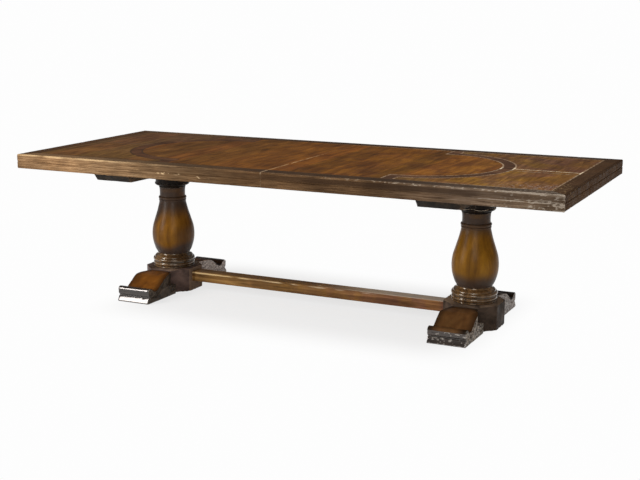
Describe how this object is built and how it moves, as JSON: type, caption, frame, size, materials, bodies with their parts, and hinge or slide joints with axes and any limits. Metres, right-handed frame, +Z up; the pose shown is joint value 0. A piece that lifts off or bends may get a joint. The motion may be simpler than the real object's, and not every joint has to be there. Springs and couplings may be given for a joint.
{
  "type": "extending dining table",
  "caption": "Extending dining table: an inlaid split top with a reeded edge slides open on runners over turned pedestals on scroll feet, tied by a low stretcher.",
  "frame": {"origin": "on the floor, at the middle of the table", "axes": "+X along the table, +Y across it from front to back, +Z up"},
  "size_m": [2.808, 1.14, 0.76],
  "materials": {
    "turned_wood": "satin lacquer over a dark glazed amber stain, rubbed edges",
    "foot_wood": "satin lacquer over a dark glazed amber stain, rubbed edges",
    "frame_wood": "satin lacquer over brown stain",
    "border_wood": "dark stain, distressed reeded edge",
    "field_veneer": "lacquered crosswise veneer, orange brown",
    "corner_veneer": "lacquered veneer, golden brown",
    "band_veneer": "lacquered dark veneer",
    "string_veneer": "pale inlaid line, worn",
    "core_board": "unfinished board",
    "slide_wood": "waxed beech",
    "steel": "zinc plated",
    "brass": "turned"
  },
  "bodies": {
    "base": {"stretcher": "frame_wood", "tie_rods": "steel", "tie_rod_nuts": "steel", "tie_rod_washers": "steel", "foot_dowels": "slide_wood", "slide_rail_screws": "steel", "front_slide_rail": "slide_wood", "back_slide_rail": "slide_wood", "left_base_block": "foot_wood", "left_collar": "turned_wood", "left_baluster": "turned_wood", "left_capital": "turned_wood", "left_bearer": "frame_wood", "left_front_foot": "foot_wood", "left_back_foot": "foot_wood", "right_base_block": "foot_wood", "right_collar": "turned_wood", "right_baluster": "turned_wood", "right_capital": "turned_wood", "right_bearer": "frame_wood", "right_front_foot": "foot_wood", "right_back_foot": "foot_wood"},
    "left_top": {"left_core": "core_board", "left_end_border": "border_wood", "left_centre_field": "field_veneer", "left_ring_band": "band_veneer", "left_cross_bands": "band_veneer", "left_axis_band": "corner_veneer", "left_stringing": "string_veneer", "left_runner_screws": "steel", "left_front_border": "border_wood", "left_front_corner_field": "corner_veneer", "left_front_runner": "slide_wood", "left_back_border": "border_wood", "left_back_corner_field": "corner_veneer", "left_back_runner": "slide_wood"},
    "right_top": {"right_core": "core_board", "right_end_border": "border_wood", "right_centre_field": "field_veneer", "right_ring_band": "band_veneer", "right_cross_bands": "band_veneer", "right_axis_band": "corner_veneer", "right_stringing": "string_veneer", "right_runner_screws": "steel", "right_front_border": "border_wood", "right_front_corner_field": "corner_veneer", "right_front_runner": "slide_wood", "right_back_border": "border_wood", "right_back_corner_field": "corner_veneer", "right_back_runner": "slide_wood", "alignment_pins": "brass"}
  },
  "joints": [
    {"name": "left_top_slide", "type": "slide", "parent": "base", "child": "left_top", "axis": [-1, 0, 0], "range_m": [0, 0.457]},
    {"name": "right_top_slide", "type": "slide", "parent": "base", "child": "right_top", "axis": [1, 0, 0], "range_m": [0, 0.457]}
  ]
}
